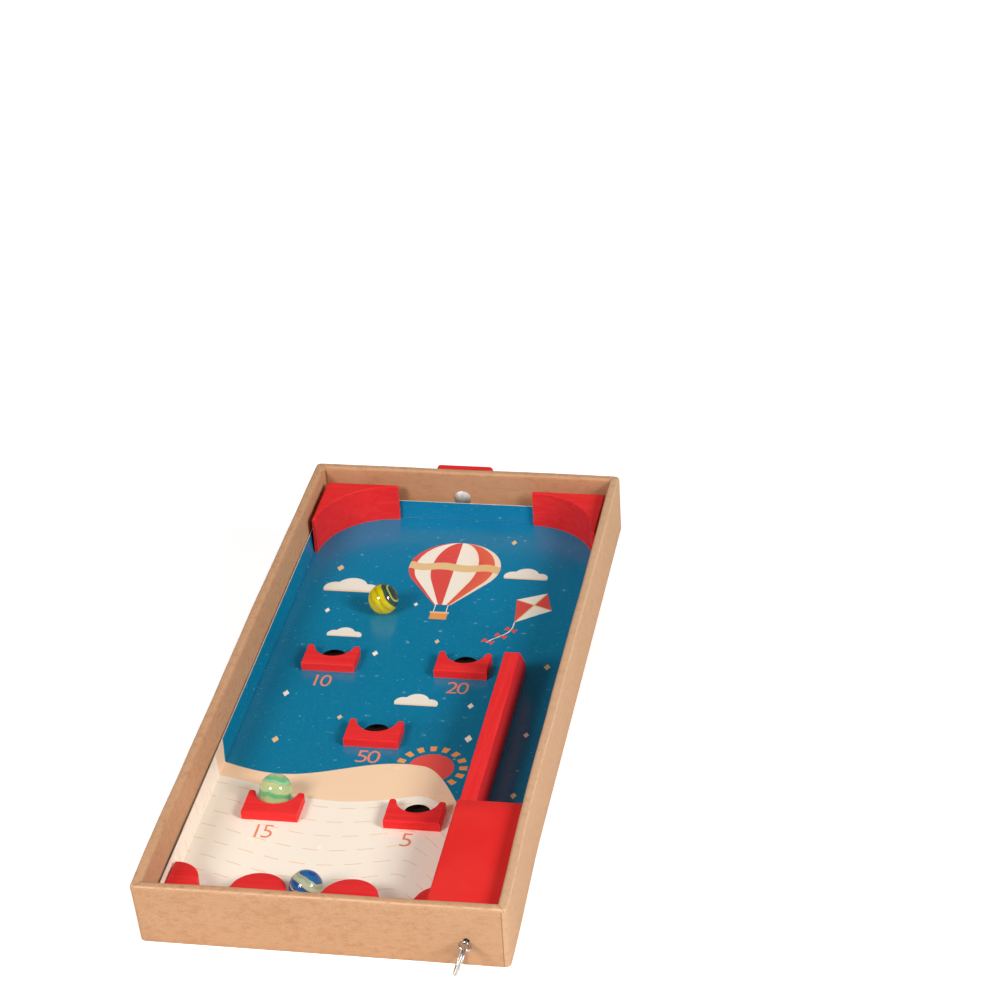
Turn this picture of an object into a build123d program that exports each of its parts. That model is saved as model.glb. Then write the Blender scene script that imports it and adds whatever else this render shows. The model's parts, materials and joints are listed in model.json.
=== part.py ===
from build123d import *
import math
import os

# Tabletop pinball game. A kraft board tray leans on a swivel foot. Inside it a printed card playfield
# carries painted wooden scoring pieces, and a spring plunger with a pull ring shoots glass marbles.
# Millimetres. Tray frame: X across, Y from front to back, Z square to the playfield, origin under the
# middle of the tray. The last section leans every piece onto the table.

# Fits
fit_gap = 0.1
run_gap = 0.15
loose_gap = 0.3
cut_overrun = 1.0

# Tray of folded kraft board, with a rolled rim
tray_width = 170.0
tray_length = 378.0
tray_height = 33.4
wall_thickness = 5.0
base_thickness = 2.0
corner_radius = 2.5
rim_radius = 1.7
base_edge_radius = 1.0

# Playfield of printed card on runners, folded up at both sides and at the back
card_thickness = 1.0
runner_height = 3.0
runner_width = 8.0
flap_height = 10.8
side_gap = 1.2
back_gap = 4.4
front_gap = 0.4

# Painted wood
wood_edge_radius = 0.5

# Corner blocks with a hollowed quarter round
block_side = 40.0
block_height = 21.0
block_tip = 1.8

# Scoring cups and the holes behind them
cup_width = 27.5
cup_depth = 17.5
cup_height = 4.7
cup_floor = 7.8
cup_mouth_radius = 10.6
cup_horn_radius = 1.3
hole_diameter = 13.0
hole_setback = 13.7
cup_margin_left = 19.05
cup_margin_right = 10.65
row_centre = -38.2
row_pitch = 63.5
cup_place_shares = {
    "cup_ten": (-1, 1),
    "cup_twenty": (1, 1),
    "cup_fifty": (0.04, 0),
    "cup_fifteen": (-1, -1),
    "cup_five": (1, -1),
}

# Lane divider with a bevelled back end
lane_width = 21.0
divider_width = 8.0
divider_height = 20.0
divider_reach = 218.6
bevel_run = 12.5
bevel_drop = 14.5

# Front rail with waves that catch the marbles
rail_height = 9.0
rail_depth = 31.6
wave_height = 15.5
pocket_count = 3
last_wave_share = 0.9

# Launcher: folded cover, wooden end block, plunger, spring and washers
cover_length = 80.6
cover_fold_radius = 1.8
cover_edge_radius = 1.4
end_block_length = 10.0
rod_diameter = 1.4
rod_wall_hole = 3.0
head_diameter = 14.0
head_length = 12.0
head_bore_depth = 8.0
head_edge_radius = 1.2
head_setback = 2.0
spring_diameter = 8.4
spring_wire = 0.8
spring_turns = 14
washer_diameter = 10.0
washer_thickness = 0.8

# Pull eye at the end of the rod, and the split ring that hangs in it
eye_bore = 3.6
eye_roll = 20.0
ring_radius = 7.0
ring_wire = 0.9
ring_pitch = 1.35
ring_turns = 2
ring_slack = 0.55

# Swivel foot on its bolt behind the back wall
foot_width = 31.5
foot_thickness = 6.0
foot_crown = 14.0
foot_reach = 50.0
foot_corner_radius = 2.0
pivot_height = 17.0
pivot_offset = -3.0
bolt_diameter = 4.0
bolt_head_diameter = 9.4
bolt_head_height = 1.3
spacer_diameter = 12.0
spacer_thickness = 1.0
nut_width = 7.0
nut_height = 3.2
nut_dome_diameter = 6.6
nut_dome_height = 2.4
bolt_tip = 4.0

# Marbles
marble_diameter = 16.0
free_marble_x = -27.2
free_marble_y = 83.0

# Places that follow from the sizes
inner_side = tray_width / 2 - wall_thickness
inner_front = wall_thickness - tray_length / 2
inner_back = tray_length / 2 - wall_thickness
field_top = base_thickness + runner_height + card_thickness
card_side = inner_side - side_gap
card_front = inner_front + front_gap
card_back = inner_back - back_gap
field_side = card_side - card_thickness
field_back = card_back - card_thickness
divider_right = field_side - lane_width
divider_left = divider_right - divider_width
divider_top = field_top + divider_height
column_left = cup_margin_left + cup_width / 2 - field_side
column_right = divider_left - cup_margin_right - cup_width / 2
column_centre = (column_left + column_right) / 2
column_pitch = (column_right - column_left) / 2
lane_centre = (divider_right + field_side) / 2
marble_radius = marble_diameter / 2
rod_level = field_top + marble_radius
rod_radius = rod_diameter / 2
cover_left = divider_left - fit_gap - card_thickness
cover_right = field_side - fit_gap
cover_top = divider_top + card_thickness
cover_back = card_front + cover_length
rail_left = -field_side + fit_gap
rail_right = cover_left - fit_gap
pocket_pitch = (rail_right - rail_left) / (pocket_count - 1 + last_wave_share)
crest_line = card_front + rail_depth
head_back = cover_back - head_setback
head_front = head_back - head_length
end_block_back = card_front + end_block_length
eye_radius = (eye_bore + rod_diameter) / 2
eye_y = -tray_length / 2 - loose_gap - eye_radius - rod_radius
foot_front = tray_length / 2 + spacer_thickness
foot_back = foot_front + foot_thickness


def block(x_from, x_to, y_from, y_to, z_from, z_to):
    # Rectangular block between two corners.
    middle = Pos((x_from + x_to) / 2, (y_from + y_to) / 2, (z_from + z_to) / 2)
    return middle * Box(x_to - x_from, y_to - y_from, z_to - z_from)


def round_bar(radius, x, z, y_from, y_to):
    # Cylinder along Y.
    return Pos(x, (y_from + y_to) / 2, z) * Rot(90, 0, 0) * Cylinder(radius, y_to - y_from)


def disc_washer(outer, bore, x, z, y_from, thickness):
    # Flat washer facing along Y.
    disc = round_bar(outer / 2, x, z, y_from, y_from + thickness)
    return disc - round_bar(bore / 2, x, z, y_from - cut_overrun, y_from + thickness + cut_overrun)


def ease_top(wood):
    # Sanded top edges of a painted wooden piece.
    top = wood.faces().sort_by(Axis.Z)[-1]
    return fillet(top.edges(), wood_edge_radius)


def cup_place(name):
    # Middle of a cup's front face on the playfield.
    across, along = cup_place_shares[name]
    return column_centre + across * column_pitch, row_centre + along * row_pitch


def tray_walls():
    # Rolled wall ring, mitred into four walls at its corners.
    outline = RectangleRounded(tray_width, tray_length, corner_radius)
    outline -= Rectangle(2 * inner_side, inner_back - inner_front)
    ring = extrude(outline, tray_height)
    ring = fillet(ring.faces().sort_by(Axis.Z)[-1].edges(), rim_radius)
    ring = fillet(ring.faces().sort_by(Axis.Z)[0].outer_wire().edges(), base_edge_radius)
    out_x, out_y = tray_width / 2, tray_length / 2
    bolt_hole = bolt_diameter / 2 + fit_gap
    rod_hole = rod_wall_hole / 2
    ring -= round_bar(rod_hole, lane_centre, rod_level, -out_y - cut_overrun, inner_front + cut_overrun)
    ring -= round_bar(bolt_hole, pivot_offset, pivot_height, inner_back - cut_overrun, out_y + cut_overrun)
    outer = [(-out_x, -out_y), (out_x, -out_y), (out_x, out_y), (-out_x, out_y)]
    inner = [
        (-inner_side, inner_front),
        (inner_side, inner_front),
        (inner_side, inner_back),
        (-inner_side, inner_back),
    ]
    walls = {}
    for index, side in enumerate(("front", "right", "back", "left")):
        following = (index + 1) % len(outer)
        mitre = Polyline(outer[index], outer[following], inner[following], inner[index], close=True)
        walls["tray_wall_" + side] = ring & extrude(make_face(mitre), tray_height)
    return walls


def tray_base():
    # Base panel inside the walls.
    return block(-inner_side, inner_side, inner_front, inner_back, 0, base_thickness)


def board_runners():
    # Card strips that hold the playfield off the base, clear of the holes.
    edge = card_side - runner_width / 2
    places = {
        "runner_left": -edge,
        "runner_middle_left": column_centre - column_pitch / 2,
        "runner_middle_right": column_centre + column_pitch / 2,
        "runner_divider": (divider_left + divider_right) / 2,
        "runner_right": edge,
    }
    half = runner_width / 2
    top = base_thickness + runner_height
    return {
        name: block(x - half, x + half, card_front, card_back, base_thickness, top)
        for name, x in places.items()
    }


def playfield():
    # Printed card: a panel with the scoring holes, and the flaps that stand up along its folds.
    panel = block(-card_side, card_side, card_front, card_back, field_top - card_thickness, field_top)
    punch = Cylinder(hole_diameter / 2, 2 * card_thickness + cut_overrun)
    for name in cup_place_shares:
        x, front = cup_place(name)
        panel -= Pos(x, front + hole_setback, field_top) * punch
    flap_top = field_top + flap_height
    return {
        "playfield_panel": panel,
        "playfield_flap_left": block(-card_side, -field_side, card_front, card_back, field_top, flap_top),
        "playfield_flap_right": block(field_side, card_side, card_front, card_back, field_top, flap_top),
        "playfield_flap_back": block(-field_side, field_side, field_back, card_back, field_top, flap_top),
    }


def corner_block(side):
    # Square block whose inner corner is hollowed to turn the marble round the bend.
    outer_x = side * (field_side - fit_gap)
    inner_x = outer_x - side * block_side
    back = field_back - fit_gap
    low, high = sorted((outer_x, inner_x))
    solid = block(low, high, back - block_side, back, field_top, field_top + block_height)
    hollow = Cylinder(block_side - block_tip, 2 * block_height + cut_overrun)
    return ease_top(solid - Pos(inner_x, back - block_side, field_top) * hollow)


def scoring_cup(name):
    # Wooden cup with two horns round the hole.
    outline = Pos(0, cup_depth / 2) * Rectangle(cup_width, cup_depth)
    outline -= Pos(0, cup_floor + cup_mouth_radius) * Circle(cup_mouth_radius)
    tips = outline.vertices().sort_by(Axis.Y)[-4:]
    outline = fillet(tips, cup_horn_radius)
    x, front = cup_place(name)
    return Pos(x, front, field_top) * ease_top(extrude(outline, cup_height))


def lane_divider():
    # Tall bar between field and lane, bevelled at the end where the marble comes round.
    front = card_front
    back = card_front + divider_reach
    knee = divider_top - bevel_drop
    bevel_top = (back - bevel_run, divider_top)
    end = (front, divider_top)
    side = Polyline((front, field_top), (back, field_top), (back, knee), bevel_top, end, close=True)
    bar = extrude(Plane.YZ.offset(divider_left) * make_face(side), divider_width)
    return ease_top(bar)


def front_rail():
    # Waved rail, with crests and hollows as equal arcs.
    middle = crest_line - wave_height / 2
    rise = wave_height / 2
    quarter = pocket_pitch / 4
    waves = []
    for index in range(pocket_count + 1):
        crest = rail_left + index * pocket_pitch
        hollow = crest + pocket_pitch / 2
        for x, y in ((crest, middle + rise), (hollow, middle - rise)):
            waves.append(ThreePointArc((x - quarter, middle), (x, y), (x + quarter, middle)))
    start, end = waves[0] @ 0, waves[-1] @ 1
    floor = Polyline(end, (end.X, card_front), (start.X, card_front), start)
    solid = extrude(make_face(Curve() + waves + [floor]), rail_height)
    rail = Pos(0, 0, field_top) * solid
    rail &= block(rail_left, rail_right, card_front, crest_line, field_top, field_top + rail_height)
    return ease_top(rail)


def cover_outline(inset):
    # Section across the cover, drawn in from its outer face by the inset.
    left, right, top = cover_left + inset, cover_right - inset, cover_top - inset
    radii = (cover_edge_radius - inset, cover_fold_radius - inset)
    folds = FilletPolyline((left, field_top), (left, top), (right, top), (right, field_top), radius=radii)
    return make_face(Curve() + [folds, Line((right, field_top), (left, field_top))])


def launcher_cover():
    # Folded card cap over the plunger, open to the lane behind.
    across = Plane(origin=(0, cover_back, 0), x_dir=(1, 0, 0), z_dir=(0, -1, 0))
    return extrude(across * (cover_outline(0) - cover_outline(card_thickness)), cover_length)


def launcher_block():
    # Wooden block behind the front wall that guides the rod.
    solid = block(
        divider_right + fit_gap, cover_right - card_thickness - fit_gap, card_front, end_block_back,
        field_top, divider_top - cover_fold_radius,
    )
    bore = rod_radius + run_gap
    solid -= round_bar(bore, lane_centre, rod_level, card_front - cut_overrun, end_block_back + cut_overrun)
    return ease_top(solid)


def plunger_rod():
    # Steel wire with a closed eye at its outer end.
    shaft = round_bar(rod_radius, lane_centre, rod_level, eye_y + eye_radius, head_front + head_bore_depth)
    eye = Pos(lane_centre, eye_y, rod_level) * Rot(0, eye_roll, 0) * Torus(eye_radius, rod_radius)
    return shaft + eye


def plunger_head():
    # Turned wooden striker, bored for the rod.
    head = round_bar(head_diameter / 2, lane_centre, rod_level, head_front, head_back)
    ends = head.edges().filter_by(GeomType.CIRCLE)
    head = fillet(ends, head_edge_radius)
    bore_end = head_front + head_bore_depth
    return head - round_bar(rod_radius, lane_centre, rod_level, head_front - cut_overrun, bore_end)


def wound_wire(radius, pitch, turns, wire):
    # One unbroken wire on a helix about Z from z = 0, as two tangent arcs for each quarter turn.
    def point(angle):
        return Vector(radius * math.cos(angle), radius * math.sin(angle), pitch * angle / math.tau)

    def heading(angle):
        return Vector(-radius * math.sin(angle), radius * math.cos(angle), pitch / math.tau).normalized()

    arcs = []
    steps = 4 * turns
    for step in range(steps):
        first, last = step * math.pi / 2, (step + 1) * math.pi / 2
        start, end, leave, arrive = point(first), point(last), heading(first), heading(last)
        across = end - start
        bend = 2 * (1 - leave.dot(arrive))
        along = across.dot(leave + arrive)
        reach = (math.sqrt(along * along + bend * across.dot(across)) - along) / bend
        middle = (start + leave * reach + end - arrive * reach) / 2
        arcs.append(TangentArc(start, middle, tangent=leave))
        arcs.append(TangentArc(middle, end, tangent=arcs[-1] % 1))
    path = Wire(arcs)
    section = Plane(origin=point(0), z_dir=heading(0)) * Circle(wire / 2)
    return sweep(section, path=path)


def least_gap(radius, pitch, turns, wire):
    # Least free space between one turn and the next, measured on points along the helix.
    samples = 48
    points = [
        Vector(radius * math.cos(a), radius * math.sin(a), pitch * a / math.tau)
        for a in (math.tau * i / samples for i in range(samples * turns + 1))
    ]
    gaps = [
        (points[i] - points[j]).length - wire
        for i in range(len(points))
        for j in range(i + samples // 2, min(i + 2 * samples, len(points)))
    ]
    return min(gaps)


def launch_spring():
    # Compression spring on the rod, between the two washers.
    front = end_block_back + washer_thickness + fit_gap
    back = head_front - washer_thickness - fit_gap
    radius = (spring_diameter - spring_wire) / 2
    pitch = (back - front - spring_wire) / spring_turns
    print("launch_spring least gap", round(least_gap(radius, pitch, spring_turns, spring_wire), 3))
    coil = wound_wire(radius, pitch, spring_turns, spring_wire)
    return Pos(lane_centre, front + spring_wire / 2, rod_level) * Rot(-90, 0, 0) * coil


def ring_hang():
    # Drop of the ring's middle below the eye's front bar, where the ring clears both bars of the eye.
    hang = ring_radius - ring_wire / 2 - rod_radius - ring_slack
    clear = ring_radius + ring_wire / 2 + rod_radius + ring_slack
    span = 2 * eye_radius
    return hang, math.acos((clear * clear - hang * hang - span * span) / (2 * hang * span))


def pull_ring():
    # Split ring of two turns, hung through the eye with its ends at the far side.
    hang, droop = ring_hang()
    print("pull_ring least gap", round(least_gap(ring_radius, ring_pitch, ring_turns, ring_wire), 3))
    half_width = ring_pitch * ring_turns / 2
    coil = Pos(0, 0, -half_width) * wound_wire(ring_radius, ring_pitch, ring_turns, ring_wire)
    middle_y = -eye_radius - hang * math.cos(droop)
    middle_z = -hang * math.sin(droop)
    far_turn = math.degrees(math.atan2(middle_y, -middle_z))
    upright = Rot(far_turn, 0, 0) * Rot(0, 90, 0) * coil
    return Pos(lane_centre, eye_y, rod_level) * Rot(0, eye_roll, 0) * Pos(0, middle_y, middle_z) * upright


def stand_foot():
    # Swivel plate whose short end stands up behind the rim.
    low, high = pivot_height - foot_reach, pivot_height + foot_crown
    plate = block(
        pivot_offset - foot_width / 2, pivot_offset + foot_width / 2, foot_front, foot_back, low, high
    )
    plate = fillet(plate.edges().filter_by(Axis.Y), foot_corner_radius)
    bore = bolt_diameter / 2 + run_gap
    plate -= round_bar(bore, pivot_offset, pivot_height, foot_front - cut_overrun, foot_back + cut_overrun)
    return plate


def pivot_bolt():
    # Domed head inside the tray, with its shank out through the wall and the foot.
    head_radius = bolt_head_diameter / 2
    dome_radius = (head_radius * head_radius + bolt_head_height * bolt_head_height) / (2 * bolt_head_height)
    centre_y = inner_back + dome_radius - bolt_head_height
    dome = Pos(pivot_offset, centre_y, pivot_height) * Sphere(dome_radius)
    dome &= round_bar(head_radius, pivot_offset, pivot_height, inner_back - 2 * bolt_head_height, inner_back)
    tip = foot_back + washer_thickness + bolt_tip
    return dome + round_bar(bolt_diameter / 2, pivot_offset, pivot_height, inner_back, tip)


def pivot_nut():
    # Cap nut with a domed end.
    front = foot_back + washer_thickness
    hexagon = Plane(origin=(pivot_offset, front, pivot_height), z_dir=(0, 1, 0)) * RegularPolygon(
        nut_width / 2, 6, major_radius=False
    )
    nut = extrude(hexagon, nut_height)
    dome_radius = nut_dome_diameter / 2
    cap_end = front + nut_height + nut_dome_height
    cap = round_bar(dome_radius, pivot_offset, pivot_height, front, cap_end)
    rim = cap.edges().filter_by(GeomType.CIRCLE).sort_by(Axis.Y)[-1]
    nut += fillet(rim, min(dome_radius, nut_dome_height) - fit_gap)
    nut -= round_bar(bolt_diameter / 2, pivot_offset, pivot_height, front - cut_overrun, front + bolt_tip)
    return nut


def marbles():
    # One marble free on the field, one scored and one caught by the front rail.
    # The scored one lies between its cup's top edge and the back rim of the hole.
    fifteen_x, fifteen_front = cup_place("cup_fifteen")
    rim_y = hole_setback + hole_diameter / 2
    span = math.hypot(rim_y - cup_floor, cup_height)
    lift = math.sqrt((marble_radius + fit_gap) ** 2 - (span / 2) ** 2)
    scored_y = (cup_floor + rim_y) / 2 + lift * cup_height / span
    scored_z = cup_height / 2 + lift * (rim_y - cup_floor) / span
    hollow_x = rail_left + pocket_pitch * 3 / 2
    hollow_y = crest_line - wave_height + marble_radius + loose_gap
    level = field_top + marble_radius + fit_gap
    places = {
        "marble_yellow": (free_marble_x, free_marble_y, level),
        "marble_green": (fifteen_x, fifteen_front + scored_y, field_top + scored_z),
        "marble_blue": (hollow_x, hollow_y, level),
    }
    return {name: Pos(*place) * Sphere(marble_radius) for name, place in places.items()}


def table_slope():
    # Angle at which the front edge of the base and the lower end of the foot both touch the table.
    back_step = tray_length / 2 - base_edge_radius + foot_front
    drop = base_edge_radius + foot_reach - pivot_height
    touch = math.acos(base_edge_radius / math.hypot(back_step, drop))
    return math.degrees(touch - math.atan2(back_step, drop))


def assemble():
    # Every piece in the tray frame, by name.
    pieces = {"tray_base": tray_base()}
    pieces.update(tray_walls())
    pieces.update(board_runners())
    pieces.update(playfield())
    pieces["corner_block_left"] = corner_block(-1)
    pieces["corner_block_right"] = corner_block(1)
    for name in cup_place_shares:
        pieces[name] = scoring_cup(name)
    pieces["lane_divider"] = lane_divider()
    pieces["front_rail"] = front_rail()
    pieces["launcher_cover"] = launcher_cover()
    pieces["launcher_block"] = launcher_block()
    pieces["plunger_rod"] = plunger_rod()
    pieces["plunger_head"] = plunger_head()
    pieces["launch_spring"] = launch_spring()
    bore = rod_diameter + 2 * run_gap
    for name, front in (("washer_front", end_block_back), ("washer_rear", head_front - washer_thickness)):
        pieces[name] = disc_washer(washer_diameter, bore, lane_centre, rod_level, front, washer_thickness)
    pieces["pull_ring"] = pull_ring()
    pieces["stand_foot"] = stand_foot()
    pieces["pivot_bolt"] = pivot_bolt()
    bolt_bore = bolt_diameter + 2 * fit_gap
    for name, front, thick in (
        ("pivot_spacer", tray_length / 2, spacer_thickness),
        ("pivot_washer", foot_back, washer_thickness),
    ):
        pieces[name] = disc_washer(spacer_diameter, bolt_bore, pivot_offset, pivot_height, front, thick)
    pieces["pivot_nut"] = pivot_nut()
    pieces.update(marbles())
    return pieces


# Lean onto the table: the lowest point is at z = 0, and the origin is under the middle of the whole
pieces = assemble()
lean = Rot(table_slope(), 0, 0)
leaned = Compound([lean * piece for piece in pieces.values()]).bounding_box()
to_table = Pos(-(leaned.min.X + leaned.max.X) / 2, -(leaned.min.Y + leaned.max.Y) / 2, -leaned.min.Z) * lean

os.makedirs("parts", exist_ok=True)
for name, piece in pieces.items():
    export_step(to_table * piece, "parts/" + name + ".step")
print("pieces", len(pieces), "slope", round(table_slope(), 3))
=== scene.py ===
import json
import math
import bmesh
import bpy
from mathutils import Matrix, Vector


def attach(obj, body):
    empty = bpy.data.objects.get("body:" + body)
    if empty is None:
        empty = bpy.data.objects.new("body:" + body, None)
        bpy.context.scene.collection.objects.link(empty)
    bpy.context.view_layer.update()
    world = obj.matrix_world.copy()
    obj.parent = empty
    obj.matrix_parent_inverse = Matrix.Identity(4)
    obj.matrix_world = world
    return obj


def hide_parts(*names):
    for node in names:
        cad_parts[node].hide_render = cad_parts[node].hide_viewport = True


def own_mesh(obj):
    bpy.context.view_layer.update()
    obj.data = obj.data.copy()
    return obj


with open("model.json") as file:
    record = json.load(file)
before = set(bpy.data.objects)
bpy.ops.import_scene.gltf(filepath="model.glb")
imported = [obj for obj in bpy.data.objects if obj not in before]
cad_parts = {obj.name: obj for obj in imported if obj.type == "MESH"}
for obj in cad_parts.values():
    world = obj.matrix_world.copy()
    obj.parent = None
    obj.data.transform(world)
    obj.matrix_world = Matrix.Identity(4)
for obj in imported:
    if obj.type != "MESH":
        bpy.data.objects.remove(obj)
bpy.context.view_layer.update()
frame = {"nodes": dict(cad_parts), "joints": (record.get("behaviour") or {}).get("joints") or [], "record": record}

nodes = frame["nodes"]
scene = bpy.context.scene
mm = 0.001
print("frame loaded,", len(nodes), "nodes")

# The game leans on its foot: pieces are modelled flat, in tray millimetres, and leaned when they are placed
restFace = next(m for m in frame["record"]["mounts"] if m["name"] == "base_face")
trayOrigin = Vector(restFace["pos_m"])
traySlope = math.atan2(restFace["axis"][1], -restFace["axis"][2])
trayMatrix = Matrix.Translation(trayOrigin) @ Matrix.Rotation(traySlope, 4, "X") @ Matrix.Scale(mm, 4)
toTray = trayMatrix.inverted()


def cornersOf(points):
    # lowest and highest corner of the box round some points
    return [Vector([limit(p[i] for p in points) for i in range(3)]) for limit in (min, max)]


def trayBox(*names):
    # the same for some CAD nodes, in tray millimetres
    return cornersOf([toTray @ v.co for name in names for v in nodes[name].data.vertices])


def shade(code):
    # linear colour of a written sRGB one
    parts = [int(code[i:i + 2], 16) / 255 for i in (1, 3, 5)]
    return tuple(c / 12.92 if c <= 0.04045 else ((c + 0.055) / 1.055) ** 2.4 for c in parts) + (1.0,)


class Wire:
    # one output socket; sums of wires add Math nodes
    def __init__(self, tree, socket=None):
        self.tree = tree
        self.socket = socket

    def join(self, value, socket):
        # a wire is linked; a number, a colour or its written code is set
        if isinstance(value, Wire):
            self.tree.links.new(value.socket, socket)
        else:
            socket.default_value = shade(value) if isinstance(value, str) else value

    def add(self, kind, settings=None, sockets=None, out=0):
        node = self.tree.nodes.new("ShaderNode" + kind)
        for name, value in (settings or {}).items():
            setattr(node, name, value)
        for name, value in (sockets or {}).items():
            self.join(value, node.inputs[name])
        return Wire(self.tree, node.outputs[out])

    def maths(self, operation, *values):
        return self.add("Math", {"operation": operation}, dict(enumerate(values)))

    def vector(self, operation, *values, out=0):
        return self.add("VectorMath", {"operation": operation}, dict(enumerate(values)), out)

    def __add__(self, other):
        return self.maths("ADD", self, other)

    __radd__ = __add__

    def __sub__(self, other):
        return self.maths("SUBTRACT", self, other)

    def __rsub__(self, other):
        return self.maths("SUBTRACT", other, self)

    def __mul__(self, other):
        return self.maths("MULTIPLY", self, other)

    __rmul__ = __mul__

    def __truediv__(self, other):
        return self.maths("DIVIDE", self, other)

    def __rtruediv__(self, other):
        return self.maths("DIVIDE", other, self)

    def __neg__(self):
        return self.maths("MULTIPLY", self, -1.0)

    def __abs__(self):
        return self.maths("ABSOLUTE", self)

    def __gt__(self, other):
        return self.maths("GREATER_THAN", self, other)

    def __lt__(self, other):    # reflected form of >
        return self.maths("LESS_THAN", self, other)

    def least(self, other):
        return self.maths("MINIMUM", self, other)

    def most(self, other):
        return self.maths("MAXIMUM", self, other)

    def sine(self):
        return self.maths("SINE", self)

    def root(self):
        return self.maths("SQRT", self)

    def sign(self):
        return self.maths("SIGN", self)

    def ease(self, low, high):
        # 0 at low, 1 at high, soft between; high may be the smaller
        return self.add("MapRange", {"interpolation_type": "SMOOTHSTEP"},
                        {"Value": self, "From Min": low, "From Max": high})

    def span(self, low, high):
        # stretches 0..1 to low..high
        return self.add("MapRange", {}, {"Value": self, "To Min": low, "To Max": high})

    def tint(self, below, above, share=1.0):
        # this wire is the mask of the colour above, which covers by the share
        mask = self if share == 1.0 else self * share
        return self.add("Mix", {"data_type": "RGBA"}, {0: mask, 6: below, 7: above}, 2)

    def split(self):
        parts = self.add("SeparateXYZ", {}, {0: self})
        return [Wire(self.tree, socket) for socket in parts.socket.node.outputs]

    def noise(self, size, detail=2.0, warp=0.0, stretch=(1, 1, 1)):
        # noise over this point, with features of about the size in millimetres, stretched per axis
        scaled = self.vector("MULTIPLY", self, stretch)
        return self.add("TexNoise", {}, {"Vector": scaled, "Scale": 1.0 / size, "Detail": detail,
                                         "Distortion": warp})


def newPaint(name):
    # a material, and the point on its surface in tray millimetres
    material = bpy.data.materials.new(name)
    material.use_nodes = True
    start = Wire(material.node_tree)
    coords = start.add("TexCoord", out="Object")
    turn = Matrix.Rotation(-traySlope, 3, "X")
    point = start.add("Mapping", {}, {"Vector": coords, "Scale": (1 / mm, 1 / mm, 1 / mm),
                                      "Rotation": (-traySlope, 0, 0), "Location": turn @ trayOrigin / -mm})
    return material, point


def setSockets(material, point, sockets):
    # links what varies, and sets on the shader what is the same all over
    shader = material.node_tree.nodes["Principled BSDF"]
    for name, value in sockets.items():
        point.join(value, shader.inputs[name])
    return material


def finishPaint(material, point, colour, patchy, look, relief=None, others=None):
    # the patchy wire spreads the roughness between its ends; relief is a height, its depth and strength
    sockets = {"Base Color": colour, "Roughness": patchy.span(*look["rough"]),
               "Specular IOR Level": look["shine"], **(others or {})}
    if relief:
        height, depth, strength = relief
        sockets["Normal"] = point.add("Bump", {}, {"Height": height, "Distance": depth * mm,
                                                   "Strength": strength})
    return setSockets(material, point, sockets)


def edgeMask(point, radius):
    # 1 along the outer edges of a piece, within about the radius in millimetres
    eased = point.add("Bevel", {"samples": 6}, {"Radius": radius * mm})
    plain = point.add("NewGeometry", out="Normal")
    return point.vector("DOT_PRODUCT", eased, plain, out="Value").ease(0.985, 0.86)


wallNames = ("tray_wall_front", "tray_wall_right", "tray_wall_back", "tray_wall_left")
trayLow, trayHigh = trayBox(*wallNames)
innerHigh = trayBox("tray_base")[1]

# Paints: colours, the size of their grain in millimetres and how rough they are
kraft = {"board": "#C3926C", "pale": "#CFA37E", "dark": "#A5724B", "fleck": "#8F6444", "wornAndLit": "#E8C4A2",
         "inner": "#BE8763", "crease": "#7A5236", "speckleSize": 0.45, "fibreSize": 0.55, "mottleSize": 2.4,
         "cloudSize": 36.0, "fleckSize": 0.7, "seam": 83.9, "rough": (0.79, 0.93), "shine": 0.12}


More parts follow.
